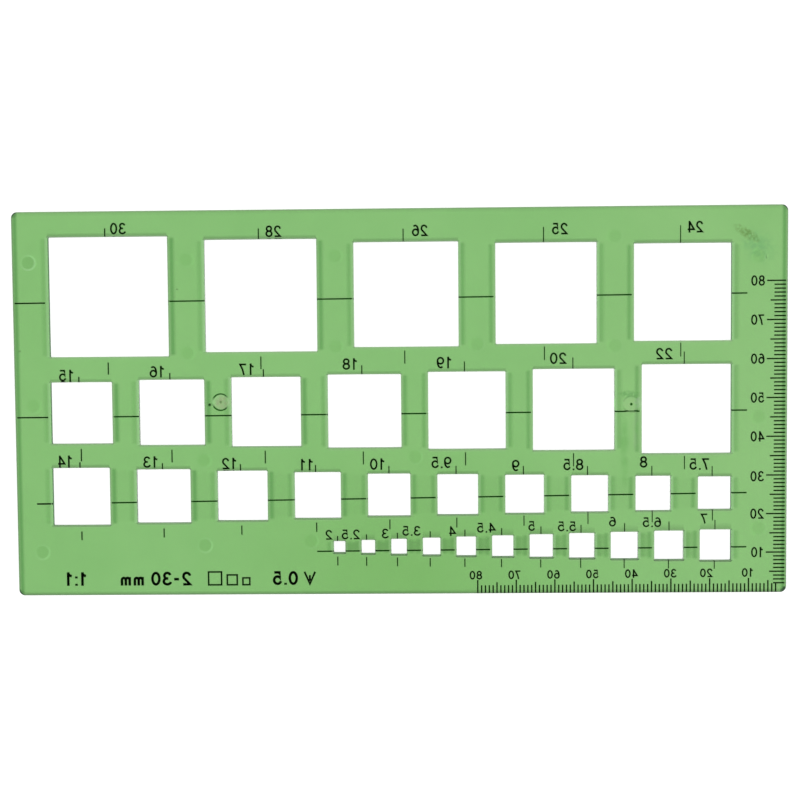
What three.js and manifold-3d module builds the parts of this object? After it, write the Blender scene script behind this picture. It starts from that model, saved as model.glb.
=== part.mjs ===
// Squares template for technical drawing: one flat moulded plate with four rows of square openings, and the
// ink printed on its lower face. Millimetres, +Z up. The plate lies printed side down, as it does on paper,
// with its origin under the middle of the plate on the surface that its raised pads stand on.
import * as THREE from 'three';
import { mergeVertices } from 'three/addons/utils/BufferGeometryUtils.js';
import Module from 'manifold-3d';

// Plate: moulded sheet, 200 x 100 mm with the rows and margins below
const PLATE_THICKNESS = 1.5;
const PLATE_CORNER_RADIUS = 1.6;
const LEFT_MARGIN = 9.4;
const RIGHT_MARGIN = 14.3;
const TOP_MARGIN = 6.6;
const BOTTOM_MARGIN = 8.4;

// Openings: each square is named by the side that a pen draws in it, and is wider by the pen's allowance
const PEN_ALLOWANCE = 1;
const OPENING_CORNER_RADIUS = 0.25;
const ROW_SPAN = 176.3;
const BELOW_FIRST_ROW = 3.1;
const BELOW_SECOND_ROW = 2.85;
const BELOW_THIRD_ROW = 2.05;
const SMALL_ROW_GAP = 4.25;
const FIRST_ROW_SIZES = [30, 28, 26, 25, 24];
const SECOND_ROW_SIZES = [15, 16, 17, 18, 19, 20, 22];
const THIRD_ROW_SIZES = [14, 13, 12, 11, 10, 9.5, 9, 8.5, 8, 7.5];
const FOURTH_ROW_SIZES = [2, 2.5, 3, 3.5, 4, 4.5, 5, 5.5, 6, 6.5, 7];
const ROWS = [
  { sizes: FIRST_ROW_SIZES, below: BELOW_FIRST_ROW },
  { sizes: SECOND_ROW_SIZES, below: BELOW_SECOND_ROW },
  { sizes: THIRD_ROW_SIZES, below: BELOW_THIRD_ROW },
  { sizes: FOURTH_ROW_SIZES, below: BOTTOM_MARGIN, gap: SMALL_ROW_GAP },
];

// Raised ejector pads that keep the ink off the paper: the gap of a row they sit in, their rise above that
// row's centre line, and how far they stand to the right of the middle of the gap
const PAD_DIAMETER = 4.2;
const PAD_HEIGHT = 0.12;
const PADS = [
  { row: 0, gap: 0, rise: 9, aside: -0.6 },
  { row: 0, gap: 1, rise: 9.4 },
  { row: 0, gap: 2, rise: 10 },
  { row: 0, gap: 4, rise: 14.5 },
  { row: 0, gap: 5, rise: 9 },
  { row: 0, gap: 1, rise: -14.7 },
  { row: 0, gap: 2, rise: -13.3 },
  { row: 0, gap: 3, rise: -13 },
  { row: 0, gap: 4, rise: -13.7 },
  { row: 1, gap: 0, rise: 1.9 },
  { row: 1, gap: 4, rise: -12 },
  { row: 1, gap: 7, rise: -2.2 },
  { row: 2, gap: 2, rise: 9.3 },
  { row: 2, gap: 0, rise: -14.6, aside: 1.6 },
  { row: 2, gap: 2, rise: -13 },
  { row: 2, gap: 3, rise: -12, aside: 7.6 },
  { row: 2, gap: 10, rise: -9.3 },
];

// Injection gates: shallow round recesses in the upper face with the stub of the runner in the middle, each
// beside the left edge of one opening of the second row
const GATE_ROW = 1;
const GATE_DIAMETER = 4.7;
const GATE_DEPTH = 0.3;
const GATE_TO_OPENING = 0.4;
const GATE_STUB_DIAMETER = 0.9;
const GATE_STUB_HEIGHT = 0.22;
const GATES = [
  { opening: 2, rise: 2.6 },
  { opening: 6, rise: 1.3 },
];

// Print: a thin film of ink on the lower face, set down a little low and turned against the openings
const INK_THICKNESS = 0.04;
const LINE_WIDTH = 0.36;
const LINE_AFTER_OPENING = 0.25;
const LINE_TO_OPENING = 0.5;
const LINE_TO_EDGE = 0.3;
const LINE_TAIL = 3.9;
const PRINT_ROWS = [
  { drop: 0.93, tilt: 0.316, fromEdge: true },
  { drop: 0.8, tilt: 0.199, fromEdge: true },
  { drop: 0.97, tilt: 0.592, fromEdge: false },
  { drop: 1.14, tilt: 0.322, fromEdge: false },
];

// Scales: millimetre marks along the lower and the right-hand edge, counted from near the lower right corner.
// The print puts one zero a little outside the plate and the other a little inside it.
const MARK_COUNT = 80;
const MARK_PITCH = 1.004;
const BOTTOM_ZERO_OUTSIDE = 0.47;
const SIDE_ZERO_INSIDE = 0.31;
const BOTTOM_SCALE_TO_EDGE = 0.15;
const SIDE_SCALE_TO_EDGE = 0.28;
const SCALE_BASE_WIDTH = 0.15;
const MARK_WIDTH = 0.36;
const BOTTOM_SCALE = { first: 3, lengths: { one: 1.85, five: 2.65, ten: 3.25 } };
const SIDE_SCALE = { first: 2, lengths: { one: 2.95, five: 3.95, ten: 4.85 } };

// Facets
const CORNER_STEPS = 6;
const OPENING_CORNER_STEPS = 3;
const ROUND_STEPS = 24;
const CUT_OVERRUN = 0.5;

const wasm = await Module();
wasm.setup();

function solidOf(geometry) {
  const bare = geometry.index ? geometry.toNonIndexed() : geometry.clone();
  bare.deleteAttribute('normal');
  bare.deleteAttribute('uv');
  const merged = mergeVertices(bare, 1e-5);
  return new wasm.Manifold(new wasm.Mesh({
    numProp: 3,
    vertProperties: new Float32Array(merged.attributes.position.array),
    triVerts: new Uint32Array(merged.index.array),
  }));
}

function geometryOf(solid) {
  const mesh = solid.getMesh();
  const geometry = new THREE.BufferGeometry();
  geometry.setAttribute('position', new THREE.BufferAttribute(new Float32Array(mesh.vertProperties), 3));
  geometry.setIndex(new THREE.BufferAttribute(new Uint32Array(mesh.triVerts), 1));
  geometry.computeVertexNormals();
  return geometry;
}

// Where everything lies: each row's openings, from the top row down, inside the margins
const tallestIn = (row) => Math.max(...row.sizes) + PEN_ALLOWANCE;
const plateLength = LEFT_MARGIN + ROW_SPAN + RIGHT_MARGIN;
const plateWidth = ROWS.reduce((sum, row) => sum + tallestIn(row) + row.below, TOP_MARGIN);
const leftEdge = -plateLength / 2;
const rightEdge = plateLength / 2;
const bottomEdge = -plateWidth / 2;
const topEdge = plateWidth / 2;
const printedFace = PAD_HEIGHT;
const backFace = printedFace + PLATE_THICKNESS;

function layOut(row, rowTop) {
  const sides = row.sizes.map((size) => size + PEN_ALLOWANCE);
  const filled = sides.reduce((sum, side) => sum + side, 0);
  const gaps = sides.length - 1;
  const gap = row.gap ?? (ROW_SPAN - filled) / gaps;
  const centre = rowTop - tallestIn(row) / 2;
  let left = rightEdge - RIGHT_MARGIN - filled - gap * gaps;
  return sides.map((side) => {
    const opening = { left, right: left + side, side, centre };
    left += side + gap;
    return opening;
  });
}

let nextTop = topEdge - TOP_MARGIN;
const openings = ROWS.map((row) => {
  const laid = layOut(row, nextTop);
  nextTop -= tallestIn(row) + row.below;
  return laid;
});

// The stretch of plate before opening number gap of a row, or after its last opening
function stretch(rowNumber, gap) {
  const row = openings[rowNumber];
  return {
    from: gap === 0 ? leftEdge : row[gap - 1].right,
    to: gap === row.length ? rightEdge : row[gap].left,
    centre: row[0].centre,
  };
}

function roundedRectangle(path, x0, y0, x1, y1, radius) {
  path.moveTo(x0 + radius, y0);
  path.lineTo(x1 - radius, y0);
  path.absarc(x1 - radius, y0 + radius, radius, -Math.PI / 2, 0, false);
  path.lineTo(x1, y1 - radius);
  path.absarc(x1 - radius, y1 - radius, radius, 0, Math.PI / 2, false);
  path.lineTo(x0 + radius, y1);
  path.absarc(x0 + radius, y1 - radius, radius, Math.PI / 2, Math.PI, false);
  path.lineTo(x0, y0 + radius);
  path.absarc(x0 + radius, y0 + radius, radius, Math.PI, Math.PI * 1.5, false);
  return path;
}

// A flat sheet with rounded corners between two heights
function sheet(x0, y0, x1, y1, radius, low, high, steps) {
  const outline = roundedRectangle(new THREE.Shape(), x0, y0, x1, y1, radius);
  const geometry = new THREE.ExtrudeGeometry(outline, {
    depth: high - low,
    bevelEnabled: false,
    curveSegments: steps,
  });
  return geometry.translate(0, 0, low);
}

// A round post standing on Z between two heights
function post(x, y, diameter, low, high) {
  const geometry = new THREE.CylinderGeometry(diameter / 2, diameter / 2, high - low, ROUND_STEPS);
  return geometry.rotateX(Math.PI / 2).translate(x, y, (low + high) / 2);
}

function makePlate() {
  let plate = solidOf(sheet(
    leftEdge, bottomEdge, rightEdge, topEdge, PLATE_CORNER_RADIUS, printedFace, backFace, CORNER_STEPS,
  ));
  for (const { left, right, side, centre } of openings.flat()) {
    plate = plate.subtract(solidOf(sheet(
      left, centre - side / 2, right, centre + side / 2, OPENING_CORNER_RADIUS,
      printedFace - CUT_OVERRUN, backFace + CUT_OVERRUN, OPENING_CORNER_STEPS,
    )));
  }
  for (const { row, gap, rise, aside = 0 } of PADS) {
    const { from, to, centre } = stretch(row, gap);
    const middle = printedFace + PLATE_THICKNESS / 2;
    plate = plate.add(solidOf(post((from + to) / 2 + aside, centre + rise, PAD_DIAMETER, 0, middle)));
  }
  for (const { opening, rise } of GATES) {
    const beside = openings[GATE_ROW][opening];
    const x = beside.left - GATE_TO_OPENING - GATE_DIAMETER / 2;
    const y = beside.centre + rise;
    const floor = backFace - GATE_DEPTH;
    plate = plate.subtract(solidOf(post(x, y, GATE_DIAMETER, floor, backFace + CUT_OVERRUN)));
    plate = plate.add(solidOf(post(
      x, y, GATE_STUB_DIAMETER, printedFace + PLATE_THICKNESS / 2, floor + GATE_STUB_HEIGHT,
    )));
  }
  return geometryOf(plate);
}

function inkFilm(outline) {
  const geometry = new THREE.ExtrudeGeometry(outline, { depth: INK_THICKNESS, bevelEnabled: false });
  return geometry.translate(0, 0, -INK_THICKNESS);
}

function dash(length) {
  const outline = new THREE.Shape();
  outline.moveTo(-length / 2, -LINE_WIDTH / 2);
  outline.lineTo(length / 2, -LINE_WIDTH / 2);
  outline.lineTo(length / 2, LINE_WIDTH / 2);
  outline.lineTo(-length / 2, LINE_WIDTH / 2);
  return inkFilm(outline);
}

// The ends of one stretch of a row's centre line, clear of the openings beside it
function dashEnds(rowNumber, gap) {
  const { from, to } = stretch(rowNumber, gap);
  const start = from + LINE_AFTER_OPENING;
  const end = to - LINE_TO_OPENING;
  if (gap === 0) {
    const edgeStart = from + LINE_TO_EDGE;
    return [PRINT_ROWS[rowNumber].fromEdge ? edgeStart : end - LINE_TAIL, end];
  }
  return [start, gap === openings[rowNumber].length ? start + LINE_TAIL : end];
}

// A comb of marks joined along the plate's edge. It is drawn with the edge along X and the count running
// along -X from zero, and the marks standing up in Y.
function comb({ first, lengths }) {
  const half = MARK_WIDTH / 2;
  const outline = new THREE.Shape();
  outline.moveTo(-first * MARK_PITCH + half, 0);
  for (let mark = first; mark <= MARK_COUNT; mark += 1) {
    const x = -mark * MARK_PITCH;
    let length = lengths.one;
    if (mark % 5 === 0) {
      length = lengths.five;
    }
    if (mark % 10 === 0) {
      length = lengths.ten;
    }
    if (mark > first) {
      outline.lineTo(x + half, SCALE_BASE_WIDTH);
    }
    outline.lineTo(x + half, length);
    outline.lineTo(x - half, length);
    if (mark < MARK_COUNT) {
      outline.lineTo(x - half, SCALE_BASE_WIDTH);
    }
  }
  outline.lineTo(-MARK_COUNT * MARK_PITCH - half, 0);
  return inkFilm(outline);
}

const plastic = new THREE.MeshStandardMaterial({
  color: 0x87be78,
  roughness: 0.2,
  metalness: 0,
  transparent: true,
  opacity: 0.75,
});
const ink = new THREE.MeshStandardMaterial({ color: 0x14200f, roughness: 0.6, metalness: 0 });

const template = new THREE.Group();

function addPiece(name, geometry, material) {
  const mesh = new THREE.Mesh(geometry, material.clone());
  mesh.name = name;
  template.add(mesh);
  return mesh;
}

addPiece('plate', makePlate(), plastic);

openings.forEach((row, rowNumber) => {
  const { drop, tilt } = PRINT_ROWS[rowNumber];
  const slope = THREE.MathUtils.degToRad(tilt);
  for (let gap = 0; gap <= row.length; gap += 1) {
    const [start, end] = dashEnds(rowNumber, gap);
    const x = (start + end) / 2;
    const line = addPiece(`centre_line_${rowNumber + 1}_${gap + 1}`, dash(end - start), ink);
    line.position.set(x, row[0].centre - drop + x * Math.tan(slope), printedFace);
    line.rotation.z = slope;
  }
});

const bottomScale = addPiece('bottom_scale', comb(BOTTOM_SCALE), ink);
bottomScale.position.set(rightEdge + BOTTOM_ZERO_OUTSIDE, bottomEdge + BOTTOM_SCALE_TO_EDGE, printedFace);

const sideScale = addPiece('side_scale', comb(SIDE_SCALE).scale(-1, 1, -1).rotateZ(Math.PI / 2), ink);
sideScale.position.set(
  rightEdge - SIDE_SCALE_TO_EDGE, bottomEdge + SIDE_ZERO_INSIDE, printedFace - INK_THICKNESS,
);

export default template;
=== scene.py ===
import math

import bmesh
import bpy
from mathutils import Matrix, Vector
from mathutils.geometry import delaunay_2d_cdt


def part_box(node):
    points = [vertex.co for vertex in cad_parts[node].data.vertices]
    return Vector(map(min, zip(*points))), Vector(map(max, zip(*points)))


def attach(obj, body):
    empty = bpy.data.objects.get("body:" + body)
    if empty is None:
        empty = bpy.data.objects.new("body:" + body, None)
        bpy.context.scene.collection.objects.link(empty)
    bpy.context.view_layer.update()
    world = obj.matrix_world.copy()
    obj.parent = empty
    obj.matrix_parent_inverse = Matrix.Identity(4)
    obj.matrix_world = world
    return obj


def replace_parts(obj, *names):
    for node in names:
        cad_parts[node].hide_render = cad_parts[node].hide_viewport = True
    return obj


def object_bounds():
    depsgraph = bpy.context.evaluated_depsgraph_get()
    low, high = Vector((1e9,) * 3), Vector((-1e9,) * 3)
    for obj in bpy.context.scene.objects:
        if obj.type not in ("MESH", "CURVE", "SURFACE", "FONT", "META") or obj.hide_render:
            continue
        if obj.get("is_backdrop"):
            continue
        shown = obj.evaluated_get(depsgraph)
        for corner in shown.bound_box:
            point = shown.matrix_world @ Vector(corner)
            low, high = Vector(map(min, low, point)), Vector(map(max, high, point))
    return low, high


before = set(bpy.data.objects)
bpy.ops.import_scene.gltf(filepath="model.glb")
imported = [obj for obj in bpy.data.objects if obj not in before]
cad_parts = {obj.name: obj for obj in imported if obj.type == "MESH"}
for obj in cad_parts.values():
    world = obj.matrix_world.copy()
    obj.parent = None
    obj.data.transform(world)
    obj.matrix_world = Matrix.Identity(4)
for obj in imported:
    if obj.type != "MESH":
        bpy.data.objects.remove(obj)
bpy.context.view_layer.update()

# Plate: one sheet of clear green plastic, injection moulded with its 33 square openings, its raised ejector pads and
# two gate marks. The mould leaves the edges slightly rounded, the walls dull and the faces faintly clouded. The light
# and shade of its edges, walls, gaps, pads and gates are painted into its colour. All sizes are in millimetres, with
# the origin under the middle of the plate.
MM = 0.001
PLATE_THICKNESS = 1.5
PLATE_CORNER_RADIUS = 1.6
LEFT_MARGIN = 9.4
RIGHT_MARGIN = 14.3
TOP_MARGIN = 6.6
PEN_ALLOWANCE = 1.0
OPENING_CORNER_RADIUS = 0.25
PLATE_CORNER_STEPS = 8
OPENING_CORNER_STEPS = 4
ROWS = (
    {"sizes": (30, 28, 26, 25, 24), "below": 3.1},
    {"sizes": (15, 16, 17, 18, 19, 20, 22), "below": 2.85},
    {"sizes": (14, 13, 12, 11, 10, 9.5, 9, 8.5, 8, 7.5), "below": 2.05},
    {"sizes": (2, 2.5, 3, 3.5, 4, 4.5, 5, 5.5, 6, 6.5, 7), "below": 8.4, "gap": 4.25},
)
plate_low, plate_high = (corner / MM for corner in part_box("plate"))
back_face = plate_high.z
printed_face = back_face - PLATE_THICKNESS


def squares(row, top):
    """The openings of one row from left to right, with their edges."""
    sides = [size + PEN_ALLOWANCE for size in row["sizes"]]
    reach = plate_high.x - RIGHT_MARGIN - plate_low.x - LEFT_MARGIN
    gap = row.get("gap", (reach - sum(sides)) / (len(sides) - 1))
    left = plate_high.x - RIGHT_MARGIN - sum(sides) - gap * (len(sides) - 1)
    middle = top - max(sides) / 2
    for size, side in zip(row["sizes"], sides):
        yield {
            "size": size, "x": left + side / 2, "y": middle,
            "left": left, "right": left + side, "bottom": middle - side / 2, "top": middle + side / 2,
        }
        left += side + gap


rows = []
row_top = plate_high.y - TOP_MARGIN
for row in ROWS:
    rows.append(list(squares(row, row_top)))
    row_top -= max(row["sizes"]) + PEN_ALLOWANCE + row["below"]
openings = [square for row in rows for square in row]


def rounded_rectangle(left, bottom, right, top, radius, steps):
    corners = (
        (right - radius, top - radius, 0), (left + radius, top - radius, 90),
        (left + radius, bottom + radius, 180), (right - radius, bottom + radius, 270),
    )
    return [
        (x + radius * math.cos(math.radians(start + 90 * k / steps)),
         y + radius * math.sin(math.radians(start + 90 * k / steps)))
        for x, y, start in corners for k in range(steps + 1)
    ]


def plate_outline(inset):
    return rounded_rectangle(
        plate_low.x + inset, plate_low.y + inset, plate_high.x - inset, plate_high.y - inset,
        PLATE_CORNER_RADIUS - inset, PLATE_CORNER_STEPS,
    )


def opening_outline(square, outset):
    return rounded_rectangle(
        square["left"] - outset, square["bottom"] - outset, square["right"] + outset, square["top"] + outset,
        OPENING_CORNER_RADIUS + outset, OPENING_CORNER_STEPS,
    )


# The moulding carries marks that its material reads, nearly all of them painted light and shade: the painted shade
# inside the plastic to the right and to the left of a wall and how strong it is, the painted shade of narrow gaps, the
# walls painted dark for shade (and made dull), the painted dark lines and the painted grey highlights beside edges, the
# painted pale highlights on the rims of pads and walls, at the gates and on a dent, and the painted shade of the gates'
# arcs, with their stubs painted dark.
MARKS = (
    "band_right", "band_left", "band_full", "gap_shade", "wall_shade", "dark_line", "edge_grey", "pale_rim",
    "gate_shade",
)
moulding = bmesh.new()
for name in MARKS:
    moulding.loops.layers.float.new(name)
layers = {name: moulding.loops.layers.float[name] for name in MARKS}


def add_face(points, **levels):
    face = moulding.faces.new([moulding.verts.new(Vector(point) * MM) for point in points])
    for name, values in levels.items():
        for corner, level in zip(face.loops, values):
            corner[layers[name]] = level
    return face


def loop_at(points, z, **levels):
    return {"points": points, "z": z, "levels": levels}


def join_loops(lower, upper):
    """A band of faces between two loops with the same number of points and the same marks."""
    count = len(lower["points"])
    for k in range(count):
        n = (k + 1) % count
        ends = ((lower, k), (lower, n), (upper, n), (upper, k))
        add_face(
            [(*loop["points"][i], loop["z"]) for loop, i in ends],
            **{name: [loop["levels"][name][i] for loop, i in ends] for name in lower["levels"]},
        )


# Both edges of a wall are rounded, the upper one more. A rim's levels say how much painted shade it carries where the
# plastic lies to its left, to its right, above it and below it, and at a corner.
UPPER_ROUNDING = 0.38
LOWER_ROUNDING = 0.12
ROUNDING_STEPS = 6
RIM_FADE_STEPS = 2
# GAP_LIGHT: how much lighter the painted dark walls of narrow gaps are. AWAY_DARK: painted shade added to rims turned
# away from the middle.
GAP_LIGHT = 0.85
AWAY_DARK = 0.35
FULLY_TURNED_AT = 60.0
PLATE_RIM = {"to_left": 0.5, "to_right": 0.6, "up": 0.75, "down": 0.45, "corner": 0.95}
ROW_RIMS = (
    {"to_left": 0.05, "to_right": 0.05, "up": 0.5, "down": 0.1, "corner": 0.3},
    {"to_left": 0.0, "to_right": 0.05, "up": 0.45, "down": 0.25, "corner": 0.3},
    {"to_left": 0.05, "to_right": 0.05, "up": 0.55, "down": 0.5, "corner": 0.3},
    {"to_left": 0.1, "to_right": 0.2, "up": 0.45, "down": 0.75, "corner": 0.4},
)


def turned_in(side, x):
    """How far an upright wall with its plastic on one side (-1 left, 1 right) is turned to the middle of the plate."""
    return max(-1.0, min(1.0, side * x / FULLY_TURNED_AT))


def wall(outline, rim, shine, lit=()):
    """The wall round an opening or the plate, with both its edges rounded. Its upper rim carries a painted grey
    highlight, and painted shade by levels that go by the side of the edge that the plastic lies on. It carries a
    painted pale highlight where it is turned to the middle. The wall is dull and painted dark for shade; the sides that
    are named as lit have only a narrow gap behind them, and are less dull and less dark there."""
    dark, pale, dull = [], [], []
    for near, far in zip(outline(0), outline(LOWER_ROUNDING)):
        into = (Vector(far) - Vector(near)).normalized()
        across = rim["to_right"] if into.x > 0 else rim["to_left"]
        upward = rim["up"] if into.y > 0 else rim["down"]
        turned = shine * turned_in(into.x, near[0])
        if into.x > 0:
            across += AWAY_DARK * max(0.0, -turned)
        dark.append(across * into.x ** 2 + upward * into.y ** 2 + rim["corner"] * 2 * abs(into.x * into.y))
        pale.append(max(0.0, turned))
        behind = "right" if into.x > 0 else "left"
        dull.append(1 - GAP_LIGHT * into.x ** 2 * max(0.0, turned) if behind in lit else 1.0)
    loops = []
    for k in range(ROUNDING_STEPS + 1):
        turn = math.pi / 2 * k / ROUNDING_STEPS
        points = outline(LOWER_ROUNDING * (1 - math.sin(turn)))
        z = printed_face + LOWER_ROUNDING * (1 - math.cos(turn))
        none = [0.0] * len(points)
        loops.append(loop_at(points, z, wall_shade=dull, edge_grey=none, pale_rim=none, dark_line=none))
    for k in range(ROUNDING_STEPS + 1):
        turn = math.pi / 2 * k / ROUNDING_STEPS
        points = outline(UPPER_ROUNDING * (1 - math.cos(turn)))
        z = back_face - UPPER_ROUNDING * (1 - math.sin(turn))
        rise = min(1.0, k / RIM_FADE_STEPS)
        loops.append(loop_at(
            points, z, wall_shade=[level * (1 - rise) for level in dull], edge_grey=[rise] * len(points),
            pale_rim=[level * rise for level in pale], dark_line=[level * rise for level in dark],
        ))
    for lower, upper in zip(loops, loops[1:]):
        join_loops(lower, upper)


wall(plate_outline, PLATE_RIM, 0)
for row, rim in zip(rows, ROW_RIMS):
    for k, square in enumerate(row):
        lit = [side for side, at_end in (("left", k == 0), ("right", k == len(row) - 1)) if not at_end]
        wall(lambda outset: opening_outline(square, outset), rim, 1, lit)

# Ejector pads stand in the gaps of a row, which are counted from the left edge, and above or below the row's middle
PAD_DIAMETER = 4.2
PAD_ROOT_DIAMETER = PAD_DIAMETER + 0.2
PAD_RIM_DIAMETERS = (PAD_DIAMETER - 0.1, PAD_DIAMETER - 0.9)
PAD_FOOT_DIAMETER = PAD_DIAMETER - 1.2
PAD_RIM_ROUNDING = 0.02
# Each pad carries a painted highlight on its sloping rim and painted shade on its foot, where it stands on the table.
PAD_SHOWS = 0.15
PAD_FOOT_DARK = 0.12
PAD_RIM_LEVEL = 0.6
PAD_RIM_SWING = 0.4
PAD_LIT_FROM = -25
PADS = (
    {"row": 0, "gap": 0, "rise": 9.0, "aside": -0.6, "shows": 1.0},
    {"row": 0, "gap": 1, "rise": 9.4}, {"row": 0, "gap": 2, "rise": 10.0},
    {"row": 0, "gap": 4, "rise": 14.5}, {"row": 0, "gap": 5, "rise": 9.0},
    {"row": 0, "gap": 1, "rise": -14.7}, {"row": 0, "gap": 2, "rise": -13.3}, {"row": 0, "gap": 3, "rise": -13.0},
    {"row": 0, "gap": 4, "rise": -13.7}, {"row": 1, "gap": 0, "rise": 1.9}, {"row": 1, "gap": 4, "rise": -12.0},
    {"row": 1, "gap": 7, "rise": -2.2}, {"row": 2, "gap": 2, "rise": 9.3},
    {"row": 2, "gap": 0, "rise": -14.6, "aside": 1.6, "shows": 0.5}, {"row": 2, "gap": 2, "rise": -13.0, "shows": 0.5},
    {"row": 2, "gap": 3, "rise": -12.0, "aside": 7.6}, {"row": 2, "gap": 10, "rise": -9.3},
)
ROUND_STEPS = 48
ROUND_TURNS = [2 * math.pi * k / ROUND_STEPS for k in range(ROUND_STEPS)]


def circle(x, y, diameter):
    return [(x + diameter / 2 * math.cos(a), y + diameter / 2 * math.sin(a)) for a in ROUND_TURNS]


def gap_middle(row, gap):
    left = plate_low.x if gap == 0 else rows[row][gap - 1]["right"]
    right = plate_high.x if gap == len(rows[row]) else rows[row][gap]["left"]
    return (left + right) / 2


def clamped(level):
    return max(0.0, min(1.0, level))


def lit_rim(turn):
    """How strong the painted highlight on the sloping rim of a pad is at a turn round it, most so at its lower right.
    """
    return PAD_RIM_LEVEL + PAD_RIM_SWING * math.cos(turn - math.radians(PAD_LIT_FROM))


def ring_patch(x, y, diameter, shows):
    """A patch over a pad that carries a painted highlight over the pad's sloping rim."""
    wide_rim, narrow_rim = PAD_RIM_DIAMETERS
    middle, full = (wide_rim + narrow_rim) / 4, (wide_rim - narrow_rim) / 4
    gone = (PAD_ROOT_DIAMETER - PAD_FOOT_DIAMETER) / 4

    def level(u, v):
        off_rim = abs(math.hypot(u - x, v - y) - middle)
        return shows * lit_rim(math.atan2(v - y, u - x)) * clamped((gone - off_rim) / (gone - full))

    return {"outline": circle(x, y, diameter), "mark": "pale_rim", "level": level}


printed_holes, printed_patches, back_patches = [], [], []
for pad in PADS:
    x = gap_middle(pad["row"], pad["gap"]) + pad.get("aside", 0.0)
    y = rows[pad["row"]][0]["y"] + pad["rise"]
    shows = pad.get("shows", PAD_SHOWS)
    none, foot = [0.0] * ROUND_STEPS, [PAD_FOOT_DARK * shows] * ROUND_STEPS
    pale = [shows * lit_rim(turn) for turn in ROUND_TURNS]
    wide_rim, narrow_rim = PAD_RIM_DIAMETERS
    profile = (
        (PAD_ROOT_DIAMETER, printed_face, none, none), (wide_rim, printed_face - PAD_RIM_ROUNDING, pale, none),
        (narrow_rim, plate_low.z + PAD_RIM_ROUNDING, pale, none), (PAD_FOOT_DIAMETER, plate_low.z, none, foot),
    )
    loops = [loop_at(circle(x, y, wide), z, pale_rim=rim, dark_line=dark) for wide, z, rim, dark in profile]
    for outer, inner in zip(loops, loops[1:]):
        join_loops(outer, inner)
    add_face([(*point, plate_low.z) for point in loops[-1]["points"]], dark_line=foot)
    printed_holes.append(loops[0]["points"])
    back_patches += [ring_patch(x, y, wide, shows) for wide, *_ in profile]

# Gate marks are shallow round recesses left of two openings, each with the stub of the runner that was broken off
GATE_ROW = 1
GATE_DIAMETER = 4.7
GATE_SLOPE = ({"diameter": 4.6, "depth_share": 0.1}, {"diameter": 4.0, "depth_share": 0.6})
GATE_FLOOR_DIAMETER = 3.6
GATE_DEPTH = 0.3
GATE_TO_OPENING = 0.4
GATE_STUB_DIAMETERS = (1.3, 0.9, 0.6)
GATE_STUB_ROUNDING = 0.02
GATE_STUB_HEIGHT = 0.22
GATES = (
    {"opening": 2, "rise": 2.6, "depth": 0.3, "arcs": 1.0, "stub": 0.6},
    {"opening": 6, "rise": 1.3, "depth": 0.12, "arcs": 0.25, "stub": 1.0},
)
gate_holes = []
for gate in GATES:
    opening = rows[GATE_ROW][gate["opening"]]
    x, y = opening["left"] - GATE_TO_OPENING - GATE_DIAMETER / 2, opening["y"] + gate["rise"]
    gate_floor = back_face - gate["depth"]
    stub_top = back_face - GATE_DEPTH + GATE_STUB_HEIGHT
    # The recess carries painted shade above and below, and painted glints at its sides
    arcs = [gate["arcs"] * clamped(3 * abs(math.sin(a)) - 1 - 0.4 * math.cos(a)) for a in ROUND_TURNS]
    glints = [gate["arcs"] * max(0.0, 1 - 1.8 * abs(math.sin(a))) for a in ROUND_TURNS]
    none, stub = [0.0] * ROUND_STEPS, [gate["stub"]] * ROUND_STEPS
    stub_root, stub_foot, stub_end = GATE_STUB_DIAMETERS
    profile = [(GATE_DIAMETER, back_face, none, glints)]
    for slope in GATE_SLOPE:
        profile.append((slope["diameter"], back_face - slope["depth_share"] * gate["depth"], arcs, glints))
    profile += [
        (GATE_FLOOR_DIAMETER, gate_floor, none, none), (stub_root, gate_floor, none, none),
        (stub_foot, gate_floor + GATE_STUB_ROUNDING, none, none), (stub_end, stub_top, stub, none),
    ]
    loops = [loop_at(circle(x, y, wide), z, gate_shade=dark, pale_rim=pale) for wide, z, dark, pale in profile]
    for outer, inner in zip(loops, loops[1:]):
        join_loops(outer, inner)
    add_face([(*point, stub_top) for point in loops[-1]["points"]], gate_shade=stub)
    gate_holes.append(loops[0]["points"])

# Patches of the two faces beside the edges carry painted shade, painted dark lines, painted grey highlights and painted
# pale highlights. Each keeps clear of the edge's rounding.
PATCH_CLEARANCE = 0.02
SHADE_WIDTH = 2.05
SHADE_SPREAD = 0.22
SHADE_STRENGTH = 0.82
SHADE_LOSS = 0.25
SHADE_FADE = 0.7
SHADE_FADE_SHARE = 0.35
GAP_FADE = 0.9
GREY_WIDTH = 0.85
DARK_WIDTH = 1.0
SIDE_GREY = 1.5
SIDE_PALE = 2.0
SIDE_DARK = 0.33
ROW_SHADES = (
    {"above": (1.1, 0.85), "below": 1.4, "gaps": (0.0, 0.0)},
    {"above": (1.05, 0.8), "below": 1.4, "gaps": (0.0, 0.0)},
    {"above": (1.1, 0.9), "below": 1.0, "gaps": (0.15, 0.15)},
    {"above": (1.9, 0.55), "below": 1.0, "gaps": (1.0, 0.45)},
)


def rectangle(x0, y0, x1, y1):
    return [(x0, y0), (x1, y0), (x1, y1), (x0, y1)]


def strip_sides(edge, side, width, rounding):
    """Where a strip beside an edge starts and ends."""
    return sorted((edge + side * (rounding + PATCH_CLEARANCE), edge + side * width))


def edge_strip(mark, axis, edge, side, low, high, width, rounding, strength=1.0):
    """A strip of a face beside a straight edge, marked from nothing at its far side up to the edge."""
    near, far = strip_sides(edge, side, width, rounding)
    return {
        "outline": rectangle(near, low, far, high) if axis == 0 else rectangle(low, near, high, far), "mark": mark,
        "level": lambda x, y: strength * max(0.0, 1 - abs((x, y)[axis] - edge) / width),
    }


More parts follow.
